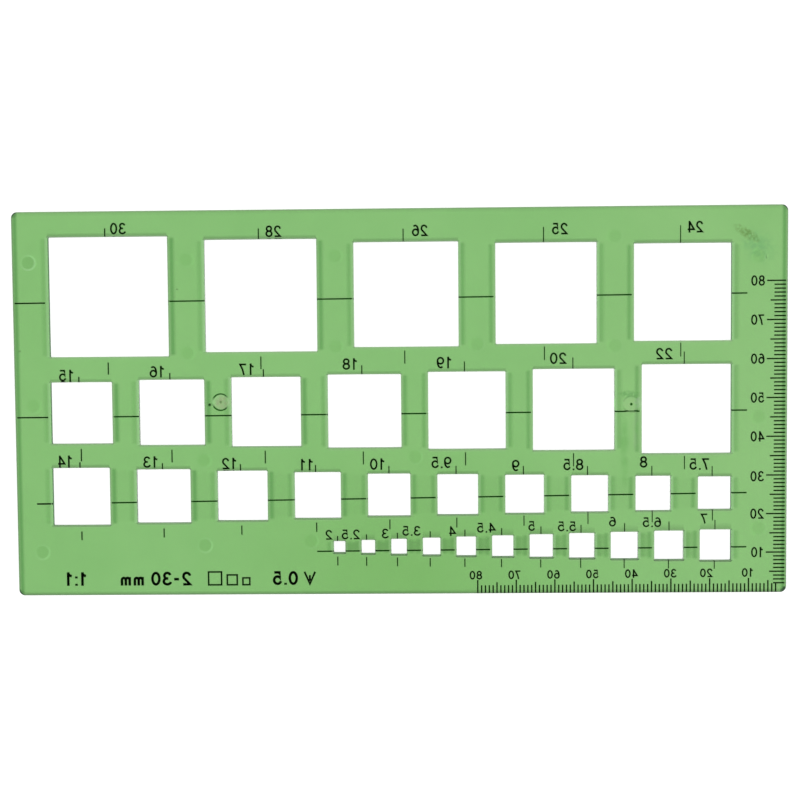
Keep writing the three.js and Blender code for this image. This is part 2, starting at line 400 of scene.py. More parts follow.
def shade_beside(mark, edge, side, low, high, width):
    """The patches of the printed face that carry the painted shade beside an upright wall, standing in for the shadow
    the wall casts, and its fading at both ends. Beside a wall that is turned to the middle it is wider and weaker."""
    turned = turned_in(side, edge)
    width *= 1 + SHADE_SPREAD * max(0.0, turned)
    strength = min(1.0, SHADE_STRENGTH - SHADE_LOSS * turned)
    fade = min(SHADE_FADE, SHADE_FADE_SHARE * (high - low))
    near, far = strip_sides(edge, side, width, LOWER_ROUNDING)
    yield edge_strip(mark, 0, edge, side, low, high, width, LOWER_ROUNDING)
    for inset in (0.0, fade):
        yield {
            "outline": rectangle(near, low + inset, far, high - inset), "mark": "band_full",
            "level": lambda x, y: strength * clamped(min(y - low, high - y) / fade),
        }


def shade_between(left, right, strength):
    """The patches of a narrow gap between two openings that carry painted shade, less towards its sides and ends."""
    low, high = max(left["bottom"], right["bottom"]), min(left["top"], right["top"])
    x0 = left["right"] + LOWER_ROUNDING + PATCH_CLEARANCE
    x1 = right["left"] - LOWER_ROUNDING - PATCH_CLEARANCE
    for inset in (0.0, GAP_FADE):
        yield {
            "outline": rectangle(x0 + inset, low + inset, x1 - inset, high - inset), "mark": "gap_shade",
            "level": lambda x, y: strength * clamped(min(x - x0, x1 - x, y - low, high - y) / GAP_FADE),
        }


# Beside each opening: painted highlights and painted shade at its upright sides, a painted dark line above it, a
# painted grey highlight below it, and painted shade in its row's narrow gaps.
for row, shades in zip(rows, ROW_SHADES):
    for square in row:
        ends = (square["bottom"], square["top"])
        for edge, band, side in ((square["right"], "band_right", 1), (square["left"], "band_left", -1)):
            turned = turned_in(side, edge)
            pale, dark = SIDE_PALE * max(0.0, turned), SIDE_DARK * max(0.0, -turned)
            back_patches.append(edge_strip("edge_grey", 0, edge, side, *ends, GREY_WIDTH, UPPER_ROUNDING, SIDE_GREY))
            if side > 0:
                back_patches.append(edge_strip("dark_line", 0, edge, side, *ends, DARK_WIDTH, UPPER_ROUNDING, dark))
            back_patches.append(edge_strip("pale_rim", 0, edge, side, *ends, GREY_WIDTH, UPPER_ROUNDING, pale))
            printed_patches += shade_beside(band, edge, side, *ends, SHADE_WIDTH)
            printed_patches.append(edge_strip("pale_rim", 0, edge, side, *ends, GREY_WIDTH, LOWER_ROUNDING, pale))
        ends = (square["left"], square["right"])
        width, strength = shades["above"]
        back_patches.append(edge_strip("dark_line", 1, square["top"], 1, *ends, width, UPPER_ROUNDING, strength))
        back_patches.append(edge_strip(
            "edge_grey", 1, square["bottom"], -1, *ends, GREY_WIDTH, UPPER_ROUNDING, shades["below"],
        ))
    first, last = shades["gaps"]
    for k, (left, right) in enumerate(zip(row, row[1:])):
        printed_patches += shade_between(left, right, first + (last - first) * k / (len(row) - 2))

# The plate's own edges carry painted shade in the same way, the upright ones over their whole length
PLATE_SHADE_WIDTH = 1.6
PLATE_LINES = (
    {"axis": 0, "edge": plate_low.x, "side": 1, "width": 1.15, "strength": 0.75},
    {"axis": 0, "edge": plate_high.x, "side": -1, "width": 1.1, "strength": 0.5},
    {"axis": 1, "edge": plate_low.y, "side": 1, "width": 1.1, "strength": 1.0},
    {"axis": 1, "edge": plate_high.y, "side": -1, "width": 1.3, "strength": 0.3},
)
CORNER_SHADES = {0: 0.5, 90: 0.9, 180: 0.9, 270: 1.6}
CORNER_SHADE_FROM = 0.3
for line in PLATE_LINES:
    axis, edge, side = line["axis"], line["edge"], line["side"]
    ends = (plate_low.x + PLATE_CORNER_RADIUS, plate_high.x - PLATE_CORNER_RADIUS)
    if axis == 0:
        ends = (plate_low.y, plate_high.y)
        printed_patches += shade_beside("band_right", edge, side, *ends, PLATE_SHADE_WIDTH)
    back_patches.append(edge_strip(
        "dark_line", axis, edge, side, *ends, line["width"], UPPER_ROUNDING, line["strength"],
    ))


def corner_shade(x, y, start, strength):
    """A patch of the back face along a rounded corner of the plate, with painted shade up to its edge."""
    reach = PLATE_CORNER_RADIUS - UPPER_ROUNDING - PATCH_CLEARANCE
    turns = [math.radians(start + 90 * k / PLATE_CORNER_STEPS) for k in range(PLATE_CORNER_STEPS + 1)]
    outline = [(x + reach * math.cos(a), y + reach * math.sin(a)) for a in turns]
    for a in reversed(turns):
        outline.append((x + CORNER_SHADE_FROM * math.cos(a), y + CORNER_SHADE_FROM * math.sin(a)))
    return {
        "outline": outline, "mark": "dark_line",
        "level": lambda u, v: strength * max(0.0, (math.hypot(u - x, v - y) - CORNER_SHADE_FROM) / reach),
    }


for start, strength in CORNER_SHADES.items():
    x = plate_high.x - PLATE_CORNER_RADIUS if start in (0, 270) else plate_low.x + PLATE_CORNER_RADIUS
    y = plate_high.y - PLATE_CORNER_RADIUS if start in (0, 90) else plate_low.y + PLATE_CORNER_RADIUS
    back_patches.append(corner_shade(x, y, start, strength))

# A painted highlight and painted shade by the upper right corner stand in for a small dent: pale on one side and dark
# on the other
back_patches += [
    {"outline": rectangle(93.9, 36.1, 94.2, 37.2), "mark": "pale_rim", "level": lambda x, y: 3.0},
    {"outline": rectangle(94.2, 36.2, 94.5, 37.1), "mark": "dark_line", "level": lambda x, y: 0.4},
]
FLAT_TOLERANCE = 1e-5
WELD_DISTANCE = 1e-7
LEVEL_NORMAL = 0.999
SHARP_TURN = 40


def flat_face(z, rounding, holes, patches):
    """The level face inside the plate's outline and round the openings and holes, with some patches of it marked."""
    loops = [plate_outline(rounding)] + [opening_outline(square, rounding) for square in openings] + holes
    points, faces = [], []
    for loop in loops + [patch["outline"] for patch in patches]:
        faces.append(list(range(len(points), len(points) + len(loop))))
        points += [Vector(point) for point in loop]
    flat, _, parts, _, _, owners = delaunay_2d_cdt(points, [], faces, 1, FLAT_TOLERANCE)
    for part, inside in zip(parts, owners):
        if 0 not in inside or any(0 < k < len(loops) for k in inside):
            continue
        face = add_face([(flat[k].x, flat[k].y, z) for k in part])
        for patch in (patches[k - len(loops)] for k in inside if k >= len(loops)):
            for corner in face.loops:
                level = patch["level"](corner.vert.co.x / MM, corner.vert.co.y / MM)
                corner[layers[patch["mark"]]] = max(corner[layers[patch["mark"]]], level)


flat_face(printed_face, LOWER_ROUNDING, printed_holes, printed_patches)
flat_face(back_face, UPPER_ROUNDING, gate_holes, back_patches)
bmesh.ops.remove_doubles(moulding, verts=moulding.verts, dist=WELD_DISTANCE)

# Open edges are split where the corner of a neighbouring face lies on them, so that the faces join all round
open_edges = [edge for edge in moulding.edges if not edge.is_manifold]
for corner in list(dict.fromkeys(vert for edge in open_edges for vert in edge.verts)):
    for edge in list(open_edges):
        start, end = edge.verts
        along = end.co - start.co
        share = (corner.co - start.co).dot(along) / along.length_squared
        off_edge = (start.co + share * along - corner.co).length
        if corner not in (start, end) and 0 < share < 1 and off_edge < WELD_DISTANCE:
            open_edges.append(bmesh.utils.edge_split(edge, start, share)[0])
bmesh.ops.remove_doubles(moulding, verts=moulding.verts, dist=WELD_DISTANCE)
bmesh.ops.recalc_face_normals(moulding, faces=moulding.faces)
for face in moulding.faces:
    face.smooth = abs(face.normal.z) < LEVEL_NORMAL
for edge in moulding.edges:
    turn = edge.calc_face_angle(math.pi)
    edge.smooth = turn < math.radians(SHARP_TURN) and all(face.smooth for face in edge.link_faces)
plate_mesh = bpy.data.meshes.new("moulded_plate")
moulding.to_mesh(plate_mesh)
moulding.free()
plate = bpy.data.objects.new("moulded_plate", plate_mesh)
bpy.context.scene.collection.objects.link(plate)


def add_node(tree, kind, **settings):
    node = tree.nodes.new(kind)
    for name, value in settings.items():
        setattr(node, name, value)
    return node


def blank_material(name):
    material = bpy.data.materials.new(name)
    material.use_nodes = True
    material.node_tree.nodes.clear()
    return material, material.node_tree


def spread(tree, value, low, high, to_low, to_high):
    mapped = add_node(tree, "ShaderNodeMapRange")
    for name, number in zip(("From Min", "From Max", "To Min", "To Max"), (low, high, to_low, to_high)):
        mapped.inputs[name].default_value = number
    tree.links.new(value, mapped.inputs["Value"])
    return mapped.outputs["Result"]


def combine(tree, operation, first, second):
    node = add_node(tree, "ShaderNodeMath", operation=operation, use_clamp=True)
    for socket, value in zip(node.inputs, (first, second)):
        if isinstance(value, bpy.types.NodeSocket):
            tree.links.new(value, socket)
        else:
            socket.default_value = value
    return node.outputs["Value"]


def ramp(tree, value, stops):
    """A run of grey levels, each stop a place and a level."""
    node = add_node(tree, "ShaderNodeValToRGB")
    elements = node.color_ramp.elements
    for place, _ in stops[:-2]:
        elements.new(place)
    for element, (place, level) in zip(elements, stops):
        element.position = place
        element.color = (level, level, level, 1)
    tree.links.new(value, node.inputs["Fac"])
    return node.outputs["Color"]


def mix_colours(tree, share, first, second, blend="MIX"):
    mixer = add_node(tree, "ShaderNodeMix", data_type="RGBA", blend_type=blend)
    for socket, value in (("Factor", share), ("A", first), ("B", second)):
        target = next(s for s in mixer.inputs if s.identifier.startswith(socket + "_") and s.enabled)
        if isinstance(value, bpy.types.NodeSocket):
            tree.links.new(value, target)
        elif isinstance(value, tuple):
            target.default_value = (*value, 1)
        else:
            target.default_value = value
    return mixer.outputs[2]


# A cloudy mottle, coarse or fine, that the plastic and the ink share
mottle = bpy.data.node_groups.new("mottle", "ShaderNodeTree")
mottle.interface.new_socket("Fineness", in_out="INPUT", socket_type="NodeSocketFloat")
mottle.interface.new_socket("Level", in_out="OUTPUT", socket_type="NodeSocketFloat")
given, returned = add_node(mottle, "NodeGroupInput"), add_node(mottle, "NodeGroupOutput")
texture = add_node(mottle, "ShaderNodeTexNoise")
texture.inputs["Detail"].default_value = 3.0
mottle.links.new(add_node(mottle, "ShaderNodeTexCoord").outputs["Object"], texture.inputs["Vector"])
mottle.links.new(given.outputs["Fineness"], texture.inputs["Scale"])
mottle.links.new(spread(mottle, texture.outputs["Fac"], 0.3, 0.7, 0.0, 1.0), returned.inputs["Level"])


def mottled(tree, fineness):
    group = add_node(tree, "ShaderNodeGroup", node_tree=mottle)
    group.inputs["Fineness"].default_value = fineness
    return group.outputs["Level"]


def mark_level(tree, name):
    return add_node(tree, "ShaderNodeAttribute", attribute_name=name).outputs["Fac"]


def blot(tree, x, y, across, up, turn=0.0):
    """A soft spot on the plate, full in its middle and gone at its reach across and up."""
    placed = add_node(tree, "ShaderNodeMapping", vector_type="TEXTURE")
    placed.inputs["Location"].default_value = (x * MM, y * MM, 0)
    placed.inputs["Rotation"].default_value = (0, 0, math.radians(turn))
    placed.inputs["Scale"].default_value = (across * MM, up * MM, 1)
    tree.links.new(add_node(tree, "ShaderNodeTexCoord").outputs["Object"], placed.inputs["Vector"])
    ball = add_node(tree, "ShaderNodeTexGradient", gradient_type="SPHERICAL")
    tree.links.new(placed.outputs["Vector"], ball.inputs["Vector"])
    return ball.outputs["Fac"]


def toned(tree, share, tint, tone):
    """A tint that is multiplied by a tone over a share of the surface."""
    return mix_colours(tree, share, tint, mix_colours(tree, 1.0, tint, tone, "MULTIPLY"))


PLASTIC_TINTS = ((0.770, 0.880, 0.690), (0.820, 0.910, 0.735))
TINT_FINENESS = 30.0
CLOUD_TONE = (0.97, 0.985, 0.97)
CLOUD_FINENESS = 160.0
# The plate is lighter towards its right-hand end and darker low in the middle.
BROAD_BLOTS = (
    {"at": (98.0, 8.0), "reach": (70.0, 90.0), "tone": (1.11, 1.03, 1.10)},
    {"at": (3.0, -46.0), "reach": (60.0, 45.0), "tone": (0.88, 0.93, 0.82)},
)
green_plastic, tree = blank_material("green_plastic")
output = add_node(tree, "ShaderNodeOutputMaterial")
surface = add_node(tree, "ShaderNodeBsdfPrincipled")
surface.inputs["IOR"].default_value = 1.49
surface.inputs["Transmission Weight"].default_value = 1.0
tree.links.new(surface.outputs["BSDF"], output.inputs["Surface"])
tint = mix_colours(tree, mottled(tree, TINT_FINENESS), *PLASTIC_TINTS)
tint = toned(tree, mottled(tree, CLOUD_FINENESS), tint, CLOUD_TONE)
for blotch in BROAD_BLOTS:
    tint = toned(tree, blot(tree, *blotch["at"], *blotch["reach"]), tint, blotch["tone"])

# The painted shade inside the plastic beside upright walls, and then the painted shade and painted highlights of gaps,
# edges, walls and gates, one over the other. Some levels of marks run past 1, so they are held to it.
SHADOW_BAND_TINT = (0.276, 0.475, 0.27)
MARK_TINTS = (
    ("gap_shade", (0.38, 0.50, 0.34)), ("edge_grey", (1.0, 0.86, 1.0)), ("pale_rim", (1.0, 1.0, 1.0)),
    ("dark_line", (0.05, 0.04, 0.09)), ("wall_shade", (0.02, 0.11, 0.02)), ("gate_shade", (0.002, 0.030, 0.001)),
)
shade_right = ramp(tree, mark_level(tree, "band_right"), (
    (0.0, 0.0), (0.2, 0.35), (0.35, 0.8), (0.5, 1.0), (0.65, 0.9), (0.8, 0.45), (1.0, 0.0),
))
shade_left = ramp(tree, mark_level(tree, "band_left"), (
    (0.0, 0.0), (0.1, 0.17), (0.25, 0.56), (0.4, 0.8), (0.55, 0.63), (0.7, 0.25), (1.0, 0.0),
))
shade = combine(tree, "MULTIPLY", combine(tree, "MAXIMUM", shade_right, shade_left), mark_level(tree, "band_full"))
tint = mix_colours(tree, shade, tint, SHADOW_BAND_TINT)
for name, colour in MARK_TINTS:
    tint = mix_colours(tree, combine(tree, "MULTIPLY", mark_level(tree, name), 1.0), tint, colour)

# Scuffs by the upper right corner, cloudy gates, a painted highlight at the right side of the right-hand gate, streaks
# of flow under the right-hand gate and a few flecks
STAINS_AND_GLINT = (
    {
        "at": (89.6, 42.7), "reach": (5.0, 1.6), "turn": -33.0, "fineness": 1500.0, "shows": (0.06, 0.45),
        "tone": (0.66, 0.64, 0.52),
    },
    {
        "at": (92.5, 39.5), "reach": (7.0, 5.5), "turn": -35.0, "fineness": 700.0, "shows": (0.10, 0.55),
        "tone": (0.78, 0.88, 0.90),
    },
    {"at": (-45.9, 0.4), "reach": (2.6, 2.6), "fineness": 1300.0, "shows": (0.05, 0.4), "tone": (1.05, 0.78, 0.95)},
    {"at": (59.9, -0.9), "reach": (2.6, 2.6), "fineness": 1300.0, "shows": (0.1, 0.5), "tone": (1.06, 0.98, 1.03)},
    # A painted highlight: this pale spot at the right side of the right-hand gate stands in for a glint of its wall.
    {"at": (61.9, -0.6), "reach": (1.4, 2.0), "fineness": 1300.0, "shows": (0.05, 0.3), "tone": (1.3, 1.04, 1.45)},
    {"at": (59.4, 1.6), "reach": (3.4, 1.3), "fineness": 1300.0, "shows": (0.05, 0.4), "tone": (0.70, 0.80, 0.74)},
    {"at": (61.2, -8.0), "reach": (1.1, 7.5), "fineness": 300.0, "shows": (0.05, 0.5), "tone": (1.18, 0.97, 1.25)},
    {"at": (58.3, -12.0), "reach": (1.6, 13.0), "fineness": 300.0, "shows": (0.05, 0.5), "tone": (0.80, 0.90, 0.80)},
)
FLECKS = (
    {"at": (-49.2, -0.3), "reach": 0.5, "depth": 1.0},
    {"at": (-57.2, 29.7), "reach": 0.3, "depth": 0.35},
    {"at": (-98.5, 14.0), "reach": 0.35, "depth": 0.35},
)
FLECK_TINT = (0.02, 0.07, 0.02)
for blotch in STAINS_AND_GLINT:
    spot = blot(tree, *blotch["at"], *blotch["reach"], blotch.get("turn", 0.0))
    patch = combine(tree, "MULTIPLY", spot, mottled(tree, blotch["fineness"]))
    tint = toned(tree, spread(tree, patch, *blotch["shows"], 0.0, 1.0), tint, blotch["tone"])
for speck in FLECKS:
    fleck = spread(tree, blot(tree, *speck["at"], speck["reach"], speck["reach"]), 0.0, 0.6, 0.0, speck["depth"])
    tint = mix_colours(tree, fleck, tint, FLECK_TINT)
tree.links.new(tint, surface.inputs["Base Color"])

# The faces are polished and the walls dull
POLISH_FINENESS = 900.0
POLISH_ROUGHNESS = (0.02, 0.06)
WALL_ROUGHNESS = 0.6
polish = spread(tree, mottled(tree, POLISH_FINENESS), 0.0, 1.0, *POLISH_ROUGHNESS)
dull = spread(tree, mark_level(tree, "wall_shade"), 0.0, 1.0, 0.0, WALL_ROUGHNESS)
tree.links.new(combine(tree, "ADD", polish, dull), surface.inputs["Roughness"])
tinted = add_node(tree, "ShaderNodeVolumeAbsorption")
tinted.inputs["Color"].default_value = (0.255, 0.680, 0.125, 1)
tinted.inputs["Density"].default_value = 900.0
tree.links.new(tinted.outputs["Volume"], output.inputs["Volume"])
plate_mesh.materials.append(green_plastic)
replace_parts(plate, "plate")
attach(plate, "root")

# Centre lines: dark printing ink laid on the plate's far face in 37 stretches, between the openings of each row.
# The print went down a little low and turned, so the lines slope against the rows. The first stretch of three rows
# stops short of its opening.
INK_THICKNESS = 0.04
LINE_WIDTH = 0.36
FIRST_LINES = {
    "centre_line_1_1": {"short": 0.65, "width": 0.36},
    "centre_line_2_1": {"short": 0.47, "width": 0.36},
    "centre_line_3_1": {"short": 0.22, "width": 0.42},
}
INK_COLOURS = ((0.003, 0.150, 0.001), (0.006, 0.210, 0.002))
INK_ROUGHNESS = (0.45, 0.7)
INK_FINENESS = 2500.0
SHARPEST_MITRE = 0.45
printing_ink, tree = blank_material("printing_ink")
output = add_node(tree, "ShaderNodeOutputMaterial")
surface = add_node(tree, "ShaderNodeBsdfPrincipled")
surface.inputs["Specular IOR Level"].default_value = 0.2
tree.links.new(surface.outputs["BSDF"], output.inputs["Surface"])
grain = mottled(tree, INK_FINENESS)
tree.links.new(mix_colours(tree, grain, *INK_COLOURS), surface.inputs["Base Color"])
tree.links.new(spread(tree, grain, 0.0, 1.0, *INK_ROUGHNESS), surface.inputs["Roughness"])
for name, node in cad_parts.items():
    if name.startswith("centre_line") and name not in FIRST_LINES:
        node.data.materials.clear()
        node.data.materials.append(printing_ink)


def ribbon(points, width):
    """The two edges of a stroke of even width along a line of points, as pairs."""
    closed = (points[0] - points[-1]).length < FLAT_TOLERANCE
    line = points[:-1] if closed else points
    count = len(line)
    pairs = []
    for i, point in enumerate(line):
        before = line[i - 1] if closed or i else None
        after = line[(i + 1) % count] if closed or i < count - 1 else None
        sides = []
        if before is not None:
            along = (point - before).normalized()
            sides.append(Vector((-along.y, along.x)))
        if after is not None:
            along = (after - point).normalized()
            sides.append(Vector((-along.y, along.x)))
        out = sum(sides, Vector((0, 0))).normalized()
        out *= width / 2 / max(out.dot(sides[0]), SHARPEST_MITRE)
        pairs.append((point + out, point - out))
    return pairs + pairs[:1] if closed else pairs


def ink_piece(name, strokes, width):
    """One film of ink in the shape of some strokes, each a line of points in millimetres."""
    corners, faces = [], []
    for stroke in strokes:
        pairs = ribbon([Vector(point) for point in stroke], width)
        for (a, b), (c, d) in zip(pairs, pairs[1:]):
            faces.append([len(corners) + k for k in range(4)])
            corners += [a, b, d, c]
    flat, _, parts, _, _, inside = delaunay_2d_cdt(corners, [], faces, 1, FLAT_TOLERANCE)
    film = bmesh.new()
    verts = [film.verts.new((p.x * MM, p.y * MM, printed_face * MM)) for p in flat]
    for part, owners in zip(parts, inside):
        if owners:
            film.faces.new([verts[i] for i in part])
    bmesh.ops.delete(film, geom=[v for v in film.verts if not v.link_faces], context="VERTS")
    pulled = bmesh.ops.extrude_face_region(film, geom=film.faces[:])["geom"]
    lower = [item for item in pulled if isinstance(item, bmesh.types.BMVert)]
    bmesh.ops.translate(film, verts=lower, vec=(0, 0, -INK_THICKNESS * MM))
    bmesh.ops.recalc_face_normals(film, faces=film.faces)
    mesh = bpy.data.meshes.new(name)
    film.to_mesh(mesh)
    film.free()
    mesh.materials.append(printing_ink)
    piece = bpy.data.objects.new(name, mesh)
    bpy.context.scene.collection.objects.link(piece)
    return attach(piece, "root")


for name, first in FIRST_LINES.items():
    low, high = (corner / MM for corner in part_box(name))
    start = Vector((low.x, low.y + LINE_WIDTH / 2))
    end = Vector((high.x, high.y - LINE_WIDTH / 2))
    end -= first["short"] * (end - start).normalized()
    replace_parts(ink_piece(name.replace("centre", "first"), [[start, end]], first["width"]), name)

# Centre ticks: two short strokes of the same ink above and below the middle of every square, for lining it up.
# They stand as far out of place as the rest of the print, more at one end of a row than at the other, and some of them
# stray further. Towards the right the ink is thinner.
TICK_WIDTHS = (0.34, 0.23)
TICK_GAP = 0.15
TICK_ROWS = (
    {
        "aside": (-0.75, -0.5), "up": (2.25, 4.55),
        "foot_aside": (-0.5, -0.4), "foot_gap": (1.5, 0.55), "foot_end": (4.65, 4.15),
    },
    {
        "aside": (-0.75, -0.5), "up": (1.45, 3.25),
        "foot_aside": (-0.5, -0.4), "foot_gap": (1.4, 0.75), "foot_end": (4.65, 4.25),
    },
    {
        "aside": (-0.58, -0.5), "up": (1.45, 2.65),
        "foot_aside": (-0.43, -0.4), "foot_gap": (1.75, 0.2), "foot_end": (4.05, 3.05),
    },
    {
        "aside": (-0.53, 0.02), "up": (1.25, 2.45),
        "foot_aside": (-0.53, -0.13), "foot_gap": (1.15, 0.35), "foot_end": (3.5, 2.35),
    },
)
TICK_STRAYS = {
    28: 0.23, 16: 0.2, 20: 0.42, 14: 0.17, 13: 0.19, 10: 0.52, 9.5: 0.12, 9: 0.24, 8: 0.29,
    5: 0.16, 6: 0.24, 6.5: 0.18,
}


def label(size):
    return f"{size:g}"


for row, ticks in zip(rows, TICK_ROWS):
    for k, square in enumerate(row):
        here = {name: first + (last - first) * k / (len(row) - 1) for name, (first, last) in ticks.items()}
        middle = square["x"] + TICK_STRAYS.get(square["size"], 0.0)
        head, foot = middle + here["aside"], middle + here["foot_aside"]
        thick, thin = TICK_WIDTHS
        ink_piece("ticks_" + label(square["size"]), [
            [(head, square["top"] + TICK_GAP), (head, square["top"] + here["up"])],
            [(foot, square["bottom"] - here["foot_gap"]), (foot, square["bottom"] - here["foot_end"])],
        ], thick + (thin - thick) * (middle - plate_low.x) / (plate_high.x - plate_low.x))

# Size numbers: the side of each square in millimetres, in the same ink beside its upper tick. They are printed to be
# read from the far face, so from above they are mirrored. Those of the lowest row are smaller.
NUMBER_PITCH = 1.18


def arc(x, y, across, up, start, end, steps=16):
    turns = [math.radians(start + (end - start) * k / steps) for k in range(steps + 1)]
    return [(x + across * math.cos(a), y + up * math.sin(a)) for a in turns]


# Each sign is drawn with strokes in a box one wide and one high, and stands its advance before the next one
FOOT = -0.09
HEAD = 1.09
SIX = [arc(0.5, 0.31, 0.5, 0.31, 0, 360), arc(0.53, 0.42, 0.53, 0.58, 185, 55)]
DIGITS = {
    "0": [arc(0.5, 0.5, 0.5, 0.5, 0, 360, 24)],
    "1": [[(0.0, 0.76), (0.22, 0.79), (0.44, 0.9), (0.52, HEAD)], [(0.52, HEAD), (0.52, FOOT)]],
    "2": [arc(0.5, 0.7, 0.47, 0.3, 172, -35) + [(0.04, 0.0), (1.02, 0.0)]],
    "3": [
        arc(0.47, 0.755, 0.43, 0.245, 168, -90) + [(0.34, 0.51)],
        [(0.34, 0.51)] + arc(0.47, 0.26, 0.52, 0.26, 80, -168),
    ],
    "4": [[(0.76, FOOT), (0.76, HEAD)], [(0.74, 1.0), (-0.06, 0.24), (1.08, 0.24)]],
    "5": [[(0.94, 1.0), (0.2, 1.0), (0.08, 0.48)] + arc(0.48, 0.32, 0.5, 0.32, 138, -165)],
    "6": SIX,
    "7": [[(-0.04, 1.0), (1.0, 1.0), (0.6, 0.5), (0.36, FOOT)]],
    "8": [arc(0.5, 0.76, 0.43, 0.24, 0, 360), arc(0.5, 0.26, 0.5, 0.26, 0, 360)],
    "9": [[(1 - x, 1 - y) for x, y in stroke] for stroke in SIX],
    ".": [[(0.0, FOOT), (0.0, 0.09)]],
    "-": [[(0.0, 0.45), (0.7, 0.45)]],
    ":": [[(0.0, FOOT), (0.0, 0.09)], [(0.0, 0.55), (0.0, 0.73)]],
    "m": [
        [(0.0, FOOT), (0.0, 0.66)], arc(0.28, 0.38, 0.28, 0.2, 180, 0) + [(0.56, FOOT)],
        arc(0.84, 0.38, 0.28, 0.2, 180, 0) + [(1.12, FOOT)],
    ],
    " ": [],
}
ADVANCE = {"1": 0.86, ".": 0.41, ":": 0.41, "-": 0.75, "m": 1.15, " ": 0.5}


def number_places(text, width):
    """Where each sign of a number starts, in its reading direction, and where the last one ends."""
    places = [0.0]
    for sign in text[:-1]:
        places.append(places[-1] + ADVANCE.get(sign, 1.0) * NUMBER_PITCH * width)
    return places, places[-1] + width


def number_strokes(text, right, baseline, height, width, stroke):
    """Strokes of a number that starts at its right-hand end and runs to the left, as seen from above."""
    strokes = []
    for sign, place in zip(text, number_places(text, width)[0]):
        start, foot = right - place - stroke / 2, baseline + stroke / 2
        for line in DIGITS[sign]:
            strokes.append([(start - x * (width - stroke), foot + y * (height - stroke)) for x, y in line])
    return strokes


NUMBER_ROWS = (
    {
        "height": 3.0, "width": 1.88, "stroke": 0.45, "right_of_tick": True,
        "aside": (0.65, 1.36, 1.63, 1.58, 1.2),
        "lift": (0.64, 0.55, 1.4, 2.0, 2.65),
    },
    {
        "height": 3.0, "width": 1.97, "stroke": 0.45, "right_of_tick": False,
        "aside": (2.0, 1.81, 2.96, 1.66, 3.79, 1.75, 3.5),
        "lift": (0.29, 0.6, 0.54, 1.21, 0.88, 1.27, 1.24),
    },
    {
        "height": 3.0, "width": 1.97, "stroke": 0.45, "right_of_tick": False,
        "aside": (2.3, 1.45, 1.43, 1.07, 0.98, 1.58, 1.27, 1.56, 1.37, 1.13),
        "lift": (0.24, 0.39, 0.36, 0.44, 0.96, 1.54, 0.86, 1.28, 2.09, 1.7),
    },
    {
        "height": 2.6, "width": 1.8, "stroke": 0.4, "right_of_tick": False,
        "aside": (1.9, 2.18, 2.69, 2.85, 2.73, 1.9, 1.56, 1.4, 2.1, 1.9, 1.85),
        "lift": (0.27, 0.09, 0.02, 0.44, 0.06, 0.66, 0.79, 0.4, 1.32, 0.87, 1.5),
    },
)
for row, numbers in zip(rows, NUMBER_ROWS):
    width = numbers["width"]
    for square, aside, lift in zip(row, numbers["aside"], numbers["lift"]):
        text = label(square["size"])
        right = square["x"] - aside
        if numbers["right_of_tick"]:
            right = square["x"] + aside + number_places(text, width)[1]
        ink_piece("number_" + text, number_strokes(
            text, right, square["top"] + lift, numbers["height"], width, numbers["stroke"],
        ), numbers["stroke"])

# Scales: millimetre marks in the same ink along the lower and the right-hand edge, counted to 80 from near the lower
# right corner. Every fifth mark is longer, and every tenth longest.
MARK_COUNT = 80
MARK_PITCH = 1.004
MARK_WIDTH = 0.36
BOTTOM_SCALE = {
    "first": 3, "zero": plate_high.x + 0.47, "from_edge": 0.15, "one": 2.0, "five": 2.8, "ten": 3.4, "longer": 0.25,
}
SIDE_SCALE = {
    "first": 2, "zero": plate_low.y + 0.31, "from_edge": 0.28, "one": 3.23, "five": 4.23, "ten": 5.13, "longer": 0.0,
}


def scale_marks(scale):
    """Each mark's place along the scale, and how far from the edge it starts and ends. Marks grow towards zero."""
    for mark in range(scale["first"], MARK_COUNT + 1):
        end = scale["ten"] if mark % 10 == 0 else scale["five"] if mark % 5 == 0 else scale["one"]
        yield mark * MARK_PITCH, scale["from_edge"], end + scale["longer"] * (1 - mark / MARK_COUNT)


bottom_marks = ink_piece("bottom_marks", [
    [(BOTTOM_SCALE["zero"] - place, plate_low.y + start), (BOTTOM_SCALE["zero"] - place, plate_low.y + end)]
    for place, start, end in scale_marks(BOTTOM_SCALE)
], MARK_WIDTH)
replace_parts(bottom_marks, "bottom_scale")
side_marks = ink_piece("side_marks", [
    [(plate_high.x - start, SIDE_SCALE["zero"] + place), (plate_high.x - end, SIDE_SCALE["zero"] + place)]
    for place, start, end in scale_marks(SIDE_SCALE)
], MARK_WIDTH)
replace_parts(side_marks, "side_scale")

# Scale numbers: the tens from 10 to 80 beside both scales, mirrored like the size numbers. Those along the lower edge
# are smaller, and drift a little from their marks.
BOTTOM_NUMBERS = {"height": 2.3, "width": 1.5, "stroke": 0.38, "up": 3.95, "drift": 0.006, "sink": 0.0055}
BOTTOM_STRAYS = {20: -0.75, 10: -0.15}
SIDE_NUMBERS = {"height": 2.7, "width": 1.6, "stroke": 0.4, "in": 5.7}
SIDE_STRAYS = {30: -0.3}
for tens in range(10, MARK_COUNT + 1, 10):
    text, numbers = str(tens), BOTTOM_NUMBERS
    middle = BOTTOM_SCALE["zero"] - tens * (MARK_PITCH + numbers["drift"]) + BOTTOM_STRAYS.get(tens, 0.0)
    right = middle + number_places(text, numbers["width"])[1] / 2
    foot = plate_low.y + numbers["up"] - tens * numbers["sink"]
    ink_piece("bottom_number_" + text, number_strokes(
        text, right, foot, numbers["height"], numbers["width"], numbers["stroke"],
    ), numbers["stroke"])
    numbers = SIDE_NUMBERS
    middle = SIDE_SCALE["zero"] + tens * MARK_PITCH + SIDE_STRAYS.get(tens, 0.0)
    ink_piece("side_number_" + text, number_strokes(
        text, plate_high.x - numbers["in"], middle - numbers["height"] / 2,
        numbers["height"], numbers["width"], numbers["stroke"],
    ), numbers["stroke"])

